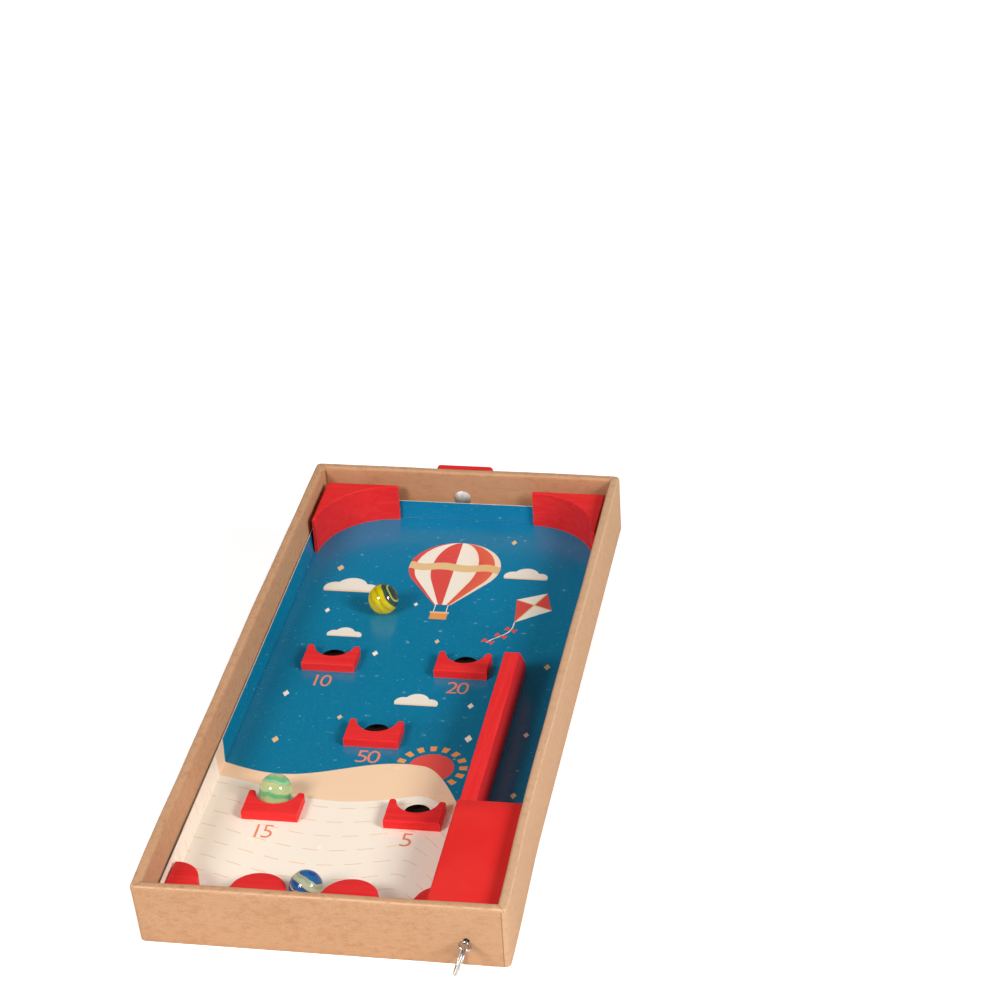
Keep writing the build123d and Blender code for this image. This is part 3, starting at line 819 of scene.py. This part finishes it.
def waveAt(along):
    # how far the sawn edge stands off its middle line
    for turn, arcs in ((1, rail["crests"]), (-1, rail["hollows"])):
        for centre, half, rise in arcs:
            if abs(along - centre) <= half:
                radius = (half * half + rise * rise) / (2 * rise)
                return turn * (rise - radius + math.sqrt(max(radius ** 2 - (along - centre) ** 2, 0)))
    return 0.0


def makeRail():
    low, high = trayBox("front_rail")
    start = low.x
    low.x -= rail["reach"]
    middle = (low + high) / 2
    freshStart()
    bpy.ops.mesh.primitive_grid_add(x_subdivisions=rail["steps"], y_subdivisions=1, size=1,
                                    location=(middle.x, middle.y, low.z))
    wood = bpy.context.object
    wood.scale = (high.x - low.x, high.y - low.y, 1)
    bpy.ops.object.transform_apply(location=True, rotation=False, scale=True)
    for v in wood.data.vertices:
        if v.co.y > middle.y:
            v.co.y = high.y - rail["wave"] + waveAt(v.co.x - start)
    startEditing(wood)
    pickAll()
    extrudeUp(high.z - low.z)
    turnOutwards()
    freshStart()
    easeEdges(wood, rail["edge"], rail["edgeSteps"], 50)
    placePiece(wood, "front_rail_wood", "tray", "red_wood_across", ["front_rail"], 40.0)


makeRail()
print("rail sawn")


# Folded card of the playfield: panel and three flaps in one sheet, punched behind each cup
cupNames = ("cup_ten", "cup_twenty", "cup_fifty", "cup_fifteen", "cup_five")


def punchHoles(card):
    cutters = []
    freshStart()
    for name in cupNames:
        low, high = trayBox(name)
        bpy.ops.mesh.primitive_cylinder_add(
            vertices=sheet["holeSides"], radius=sheet["holeRadius"], depth=8 * sheet["thick"],
            location=((low.x + high.x) / 2, low.y + sheet["holeSetback"], fieldTop))
        cutters.append(bpy.context.object)
    for cutter in cutters:
        cutter.select_set(True)
    bpy.ops.object.join()
    punch = bpy.context.object
    # the hole walls get the near-black painted shade
    punch.data.materials.append(paints["punched_edge_shade"])
    useModifier(card, "BOOLEAN", operation="DIFFERENCE", object=punch, solver="EXACT",
                material_mode="TRANSFER")
    bpy.data.objects.remove(punch)


def makePlayfield():
    flapRise = trayBox("playfield_flap_left")[1].z - fieldTop
    card = addPlate(-fieldSide, fieldSide, panelLow.y, fieldBack, fieldTop)
    for finish in ("playfield_print", "card_edge", "grey_board"):
        card.data.materials.append(paints[finish])
    startEditing(card, "EDGE")
    folds = ((0, -fieldSide), (0, fieldSide), (1, fieldBack))

    def onFold(a, b, axis, place):
        return bothAt(a, b, axis, place) and bothAt(a, b, 2, fieldTop)

    for fold in folds:
        pickEdges(card, lambda a, b: onFold(a, b, *fold))
        extrudeUp(flapRise)
    pickEdges(card, lambda a, b: any(onFold(a, b, *fold) for fold in folds))
    bevelPicked(sheet["fold"], sheet["foldSteps"])
    pickAll()
    bpy.ops.mesh.remove_doubles(threshold=0.001)
    turnOutwards()
    freshStart()
    turnUp(card)
    for v in card.data.vertices:
        if v.co.x < sheet["fold"] - fieldSide:
            v.co.x -= sheet["lean"] * (v.co.z - fieldTop) / flapRise
    useModifier(card, "SOLIDIFY", thickness=sheet["thick"], offset=-1.0, use_even_offset=True,
                material_offset=2, material_offset_rim=1)    # grey back and pale cut edge
    punchHoles(card)
    placePiece(card, "playfield_sheet", "tray", None,
               ("playfield_panel", "playfield_flap_left", "playfield_flap_right", "playfield_flap_back"))


makePlayfield()
print("playfield folded and punched")


# Plain numerals printed in front of the cups: text, step to the side, step to the front and width
numerals = {
    "height": 10.0, "spacing": 0.8, "thin": -0.006, "ink": 0.02,
    "marks": {"cup_ten": ("10", -0.6, 8.3, 8.6), "cup_twenty": ("20", 0.2, 8.3, 11.4),
              "cup_fifty": ("50", 0.4, 7.5, 11.8), "cup_fifteen": ("15", -0.6, 8.2, 8.3),
              "cup_five": ("5", -1.0, 7.8, 5.4)},
}


def makeNumerals():
    for name, (mark, aside, ahead, width) in numerals["marks"].items():
        freshStart()
        bpy.ops.object.text_add(location=(0, 0, 0))
        figure = bpy.context.object
        figure.data.body = mark
        figure.data.space_character = numerals["spacing"]
        figure.data.offset = numerals["thin"]
        figure.data.extrude = numerals["ink"]
        bpy.ops.object.convert(target="MESH")
        figure = bpy.context.object
        low, high = cornersOf([v.co for v in figure.data.vertices])
        middle = (low + high) / 2
        figure.data.transform(Matrix.Translation((-middle.x, -middle.y, 0)))
        figure.scale = (width / (high.x - low.x), numerals["height"] / (high.y - low.y), 1)
        low, high = trayBox(name)
        figure.location = ((low.x + high.x) / 2 + aside, low.y - ahead, fieldTop)
        placePiece(figure, "numeral_" + mark, "tray", "numeral_ink")


makeNumerals()
print("numerals printed")


# Wound wires: the launch spring and the split pull ring
windings = {"springTurns": 14, "springWire": 0.8, "ringTurns": 2, "ringWire": 0.95, "ringLayer": 1.0,
            "ringStep": 0.07, "wireSides": 14, "stepsPerTurn": 48}


def jointNamed(name):
    return next(j for j in frame["joints"] if j["name"] == name)


def windWire(radius, pitch, turns, wire):
    # a circle of wire screwed up the Z axis, with closed ends
    freshStart()
    bpy.ops.mesh.primitive_circle_add(vertices=windings["wireSides"], radius=wire / 2,
                                      location=(radius, 0, 0), rotation=(math.pi / 2, 0, 0))
    coil = bpy.context.object
    bpy.ops.object.transform_apply(location=True, rotation=True, scale=True)
    steps = windings["stepsPerTurn"]
    useModifier(coil, "SCREW", axis="Z", angle=2 * math.pi, screw_offset=pitch, iterations=turns, steps=steps,
                render_steps=steps, use_merge_vertices=False)
    startEditing(coil)
    pickAll()
    bpy.ops.mesh.fill_holes(sides=0)
    turnOutwards()
    freshStart()
    return coil


def makeSpring():
    low, high = trayBox("launch_spring")
    middle = (low + high) / 2
    wire = windings["springWire"]
    turns = windings["springTurns"]
    length = high.y - low.y
    coil = windWire((high.x - low.x - wire) / 2, (length - wire) / turns, turns, wire)
    coil.rotation_euler = (-math.pi / 2, 0, 0)
    coil.location = (middle.x, low.y + wire / 2, middle.z)
    placePiece(coil, "launch_spring_coil", "tray", "bright_steel", ["launch_spring"], 60.0)
    pull = jointNamed("plunger_pull")
    travel = pull["range_m"][1] / mm
    1 - travel / length
    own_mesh(coil)


def makeRing():
    # hangs on the eye's front bar, with its ends at the far side
    swing = jointNamed("ring_swing")
    axis = (toTray.to_3x3() @ Vector(swing["axis"])).normalized()
    bar = toTray @ Vector(swing["pos_m"])
    points = [toTray @ v.co for v in nodes["pull_ring"].data.vertices]
    outward = sum(points, Vector()) / len(points) - bar
    outward = (outward - axis * outward.dot(axis)).normalized()
    turn = Matrix((outward, axis.cross(outward), axis)).transposed()
    low, high = cornersOf([turn.transposed() @ (p - bar) for p in points])
    wire = windings["ringWire"]
    layer = windings["ringLayer"]
    step = windings["ringStep"]
    turns = windings["ringTurns"]
    coil = windWire((high.y - low.y - wire) / 2, layer, turns, wire)
    # the two turns lie flat on each other, and the wire steps across where they pass
    rungs = windings["stepsPerTurn"] * turns
    for v in coil.data.vertices:
        wound = min(v.index // windings["wireSides"], rungs) / windings["stepsPerTurn"]
        v.co.z += layer * (soft(wound, 1 - step, 1 + step) - wound)
    start = turn @ ((low + high) / 2 - Vector((0, 0, layer / 2))) + bar
    coil.matrix_world = Matrix.Translation(start) @ turn.to_4x4()
    placePiece(coil, "split_ring", "ring", "nickel_plate", ["pull_ring"], 60.0)


makeSpring()
makeRing()
print("spring and ring wound")


# Glass marbles with bands of coloured glass inside: a band is its low and high side, tone and streak
ballCuts = {"glass": 23, "core": 15}
marbles = {
    # yellow: the dark opaque ground stands for clear glass showing dark surroundings, a painted reflection
    "yellow": {"glass": "#FAFAF2", "core": 7.3, "lean": (0.82, 0.2, 0.53), "wave": 1.6, "ground": "#35504A",
               "clear": 0.0, "glow": 0.3,
               "bands": [(-9.0, 3.3, "#E2CC08", "#BCA802"), (5.5, 6.0, "#D9DB6A", "#C6CC5A")]},
    # green: the cream ground is a painted view of the pale print through the clear glass
    "green": {"glass": "#FBFDF8", "core": 7.2, "lean": (0.1, 0.5, 0.86), "wave": 4.0, "ground": "#E6DCA8",
              "clear": 0.4, "glow": 0.35,
              "bands": [(3.6, 6.6, "#7CC490", "#A0D4AA"), (-3.2, -0.7, "#5FB27A", "#80C088")]},
    "blue": {"glass": "#F4F8FC", "core": 7.4, "lean": (0.42, 0.4, 0.81), "wave": 3.6, "ground": "#3A5E8E",
             "clear": 0.0, "glow": 0.25,
             "bands": [(-9.0, -3.2, "#2F6CAA", "#24498C"), (-2.6, -1.6, "#B9C3A0", "#9FAF98"),
                       (-1.2, 0.8, "#2F6CAA", "#24498C"), (1.4, 5.0, "#D0D0AA", "#A9B392"),
                       (5.4, 9.0, "#3277B8", "#26569C")]},
}


def makeBall(cuts):
    # a cube cut fine and cast to a ball of radius 1, so it has no poles
    freshStart()
    bpy.ops.mesh.primitive_cube_add(size=2)
    ball = bpy.context.object
    startEditing(ball)
    pickAll()
    bpy.ops.mesh.subdivide(number_cuts=cuts)
    freshStart()
    useModifier(ball, "CAST", cast_type="SPHERE", factor=1.0, radius=0.0, size=1.0, use_radius_as_size=False)
    return ball


def copyBall(ball, radius, middle):
    # a copy with its own mesh, at its size and place
    workOn(ball)
    bpy.ops.object.duplicate(linked=False)
    copied = bpy.context.object
    copied.scale = (radius, radius, radius)
    copied.location = middle
    return copied


def makeMarbles():
    glassBall = makeBall(ballCuts["glass"])
    coreBall = makeBall(ballCuts["core"])
    for colour, marble in marbles.items():
        name = "marble_" + colour
        body = colour + "_marble"
        clear = "glass_" + colour
        swirl = "swirl_" + colour
        low, high = trayBox(name)
        middle = (low + high) / 2
        paints[clear] = glassPaint(clear, marble["glass"])
        paints[swirl] = swirlPaint(swirl, middle, marble)
        glass = copyBall(glassBall, (high.x - low.x) / 2, middle)
        placePiece(glass, name + "_glass", body, clear, [name], 80.0)
        core = copyBall(coreBall, marble["core"], middle)
        placePiece(core, name + "_swirl", body, swirl, (), 80.0)
    for ball in (glassBall, coreBall):
        bpy.data.objects.remove(ball)


makeMarbles()
print("marbles cast")


# CAD pieces that keep their shape take their finish here
nodeFinishes = {
    "kraft_base": ("tray_base",),
    "grey_board": ("runner_left", "runner_middle_left", "runner_middle_right", "runner_divider",
                   "runner_right"),
    "red_wood_across": cupNames + ("corner_block_left", "corner_block_right", "stand_foot"),
    "red_wood_along": ("lane_divider",),
    "bare_wood": ("launcher_block", "plunger_head"),
    "bright_steel": ("plunger_rod", "washer_front", "washer_rear"),
    "zinc_plate": ("pivot_bolt", "pivot_spacer", "pivot_washer", "pivot_nut"),
}
for finish, names in nodeFinishes.items():
    for name in names:
        for materialSlot in nodes[name].material_slots:
            materialSlot.material = paints[finish]
print("nodes finished")


# White studio: pale floor, two soft boxes in front, a weak one overhead and a dim even surround
studio = {"floor": 8.0, "floorTone": "#EDEDED", "floorRough": 0.9, "floorShine": 0.1, "glow": 0.56,
          "glowFar": 0.9, "reach": (260.0, 900.0), "surround": 0.2, "horizon": (0.12, 0.3), "ceiling": 0.04}
lamps = {
    "left": {"azimuth": -32.0, "height": 33.0, "away": 2.5, "size": 0.9, "power": 36.0},
    "right": {"azimuth": 58.0, "height": 31.0, "away": 2.5, "size": 0.9, "power": 46.0},
    "overhead": {"azimuth": 20.0, "height": 82.0, "away": 2.2, "size": 1.6, "power": 2.5},
}


def seenWhite(wire):
    # 1 for what the camera sees straight on, in metal or through glass
    rays = wire.add("LightPath").socket.node.outputs
    seen = Wire(wire.tree, rays["Is Camera Ray"]).most(Wire(wire.tree, rays["Is Glossy Ray"]))
    return seen.most(Wire(wire.tree, rays["Is Transmission Ray"]))


def grey(level):
    return (level, level, level, 1.0)


def makeFloor():
    freshStart()
    bpy.ops.mesh.primitive_plane_add(size=studio["floor"], location=(0, 0, 0))
    floor = bpy.context.object
    floor.name = "studio_floor"
    material, point = newPaint("studio_floor")
    away = point.vector("LENGTH", point, out="Value")
    glow = away.ease(*studio["reach"]).tint(grey(studio["glow"]), grey(studio["glowFar"]))
    seen = seenWhite(point).tint(grey(0.0), glow)
    setSockets(material, point, {"Base Color": studio["floorTone"], "Roughness": studio["floorRough"],
                                 "Specular IOR Level": studio["floorShine"], "Emission Color": seen,
                                 "Emission Strength": 1.0})
    floor.data.materials.append(material)


def makeSurround():
    world = bpy.data.worlds.new("studio_surround")
    scene.world = world
    world.use_nodes = True
    sky = world.node_tree.nodes["Background"]
    start = Wire(world.node_tree)
    up = start.add("TexCoord", out="Generated").split()[2]
    room = up.ease(*studio["horizon"]).tint(grey(1.0), grey(studio["ceiling"]))
    shown = seenWhite(start).tint(grey(studio["surround"]), room)
    seen = start.add("LightPath", out="Is Camera Ray")
    start.join(seen.tint(shown, grey(1.0)), sky.inputs["Color"])


def makeLamps():
    for name, lamp in lamps.items():
        turn = math.radians(lamp["azimuth"])
        height = math.radians(lamp["height"])
        level = math.cos(height)
        toward = Vector((math.sin(turn) * level, -math.cos(turn) * level, math.sin(height)))
        bpy.ops.object.light_add(type="AREA", location=toward * lamp["away"])
        light = bpy.context.object
        light.name = "lamp_" + name
        light.data.shape = "DISK"
        light.data.size = lamp["size"]
        light.data.energy = lamp["power"]
        light.rotation_euler = (-toward).to_track_quat("-Z", "Y").to_euler()


# Camera fitted to the photograph's view of the tray
lens = {"at": (0.29817, -1.25250, 0.76114), "turn": (64.0509, 2.0357, 10.0423), "focal": 105.738,
        "sensor": 36.0, "nearest": 0.01}


def makeCamera():
    bpy.ops.object.camera_add(location=lens["at"], rotation=[math.radians(a) for a in lens["turn"]])
    camera = bpy.context.object
    camera.data.lens = lens["focal"]
    camera.data.sensor_width = lens["sensor"]
    camera.data.clip_start = lens["nearest"]
    scene.camera = camera


makeFloor()
makeSurround()
makeLamps()
makeCamera()
scene.view_settings.view_transform = "Standard"
print("studio and camera set")
